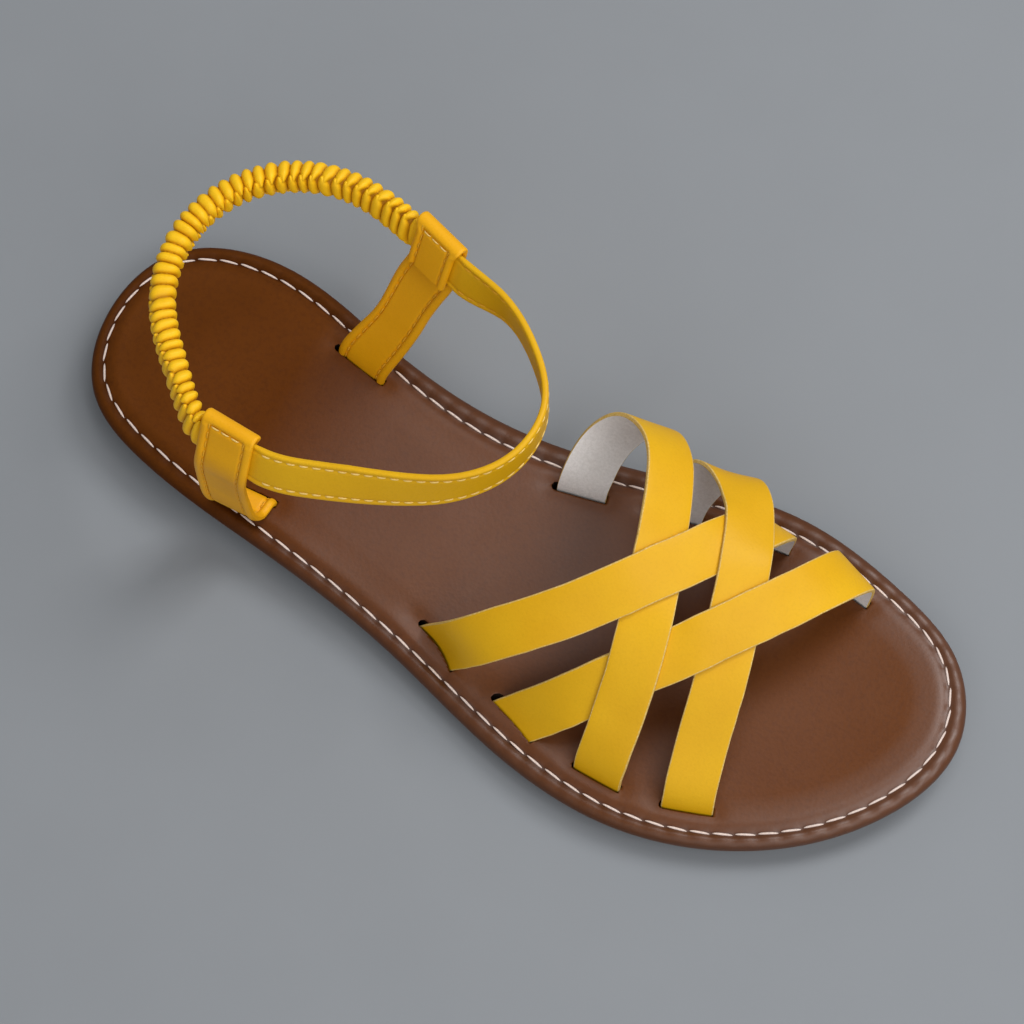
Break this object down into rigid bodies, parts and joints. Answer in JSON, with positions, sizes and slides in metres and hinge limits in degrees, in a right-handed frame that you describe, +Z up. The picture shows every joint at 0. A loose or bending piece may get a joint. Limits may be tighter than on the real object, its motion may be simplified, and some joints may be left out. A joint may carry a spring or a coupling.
{
  "type": "flat strap sandal",
  "caption": "Flat right-foot sandal with a stitched footbed, interlaced vamp straps and an ankle loop, half strap and half ruched elastic, held by side tabs.",
  "frame": {"origin": "on the floor, under the middle of the sandal's bounding box", "axes": "+X from the heel to the toe, +Y to the medial side (the big toe side), +Z up"},
  "size_m": [0.2484, 0.1078, 0.0732],
  "materials": {
    "outsole": "matt moulded rubber",
    "footbed": "satin brown leatherette, stitched",
    "vamp_straps": "yellow leatherette, pale grey fabric backing",
    "ankle_tabs": "yellow leatherette, stitched",
    "ankle_strap": "yellow leatherette, stitched",
    "heel_elastic": "yellow leatherette ruched over elastic"
  },
  "bodies": {
    "root": {"outsole": "outsole", "footbed": "footbed", "vamp_straps": "vamp_straps", "ankle_tab_medial": "ankle_tabs", "ankle_tab_lateral": "ankle_tabs", "ankle_strap": "ankle_strap", "heel_elastic": "heel_elastic"}
  },
  "joints": []
}
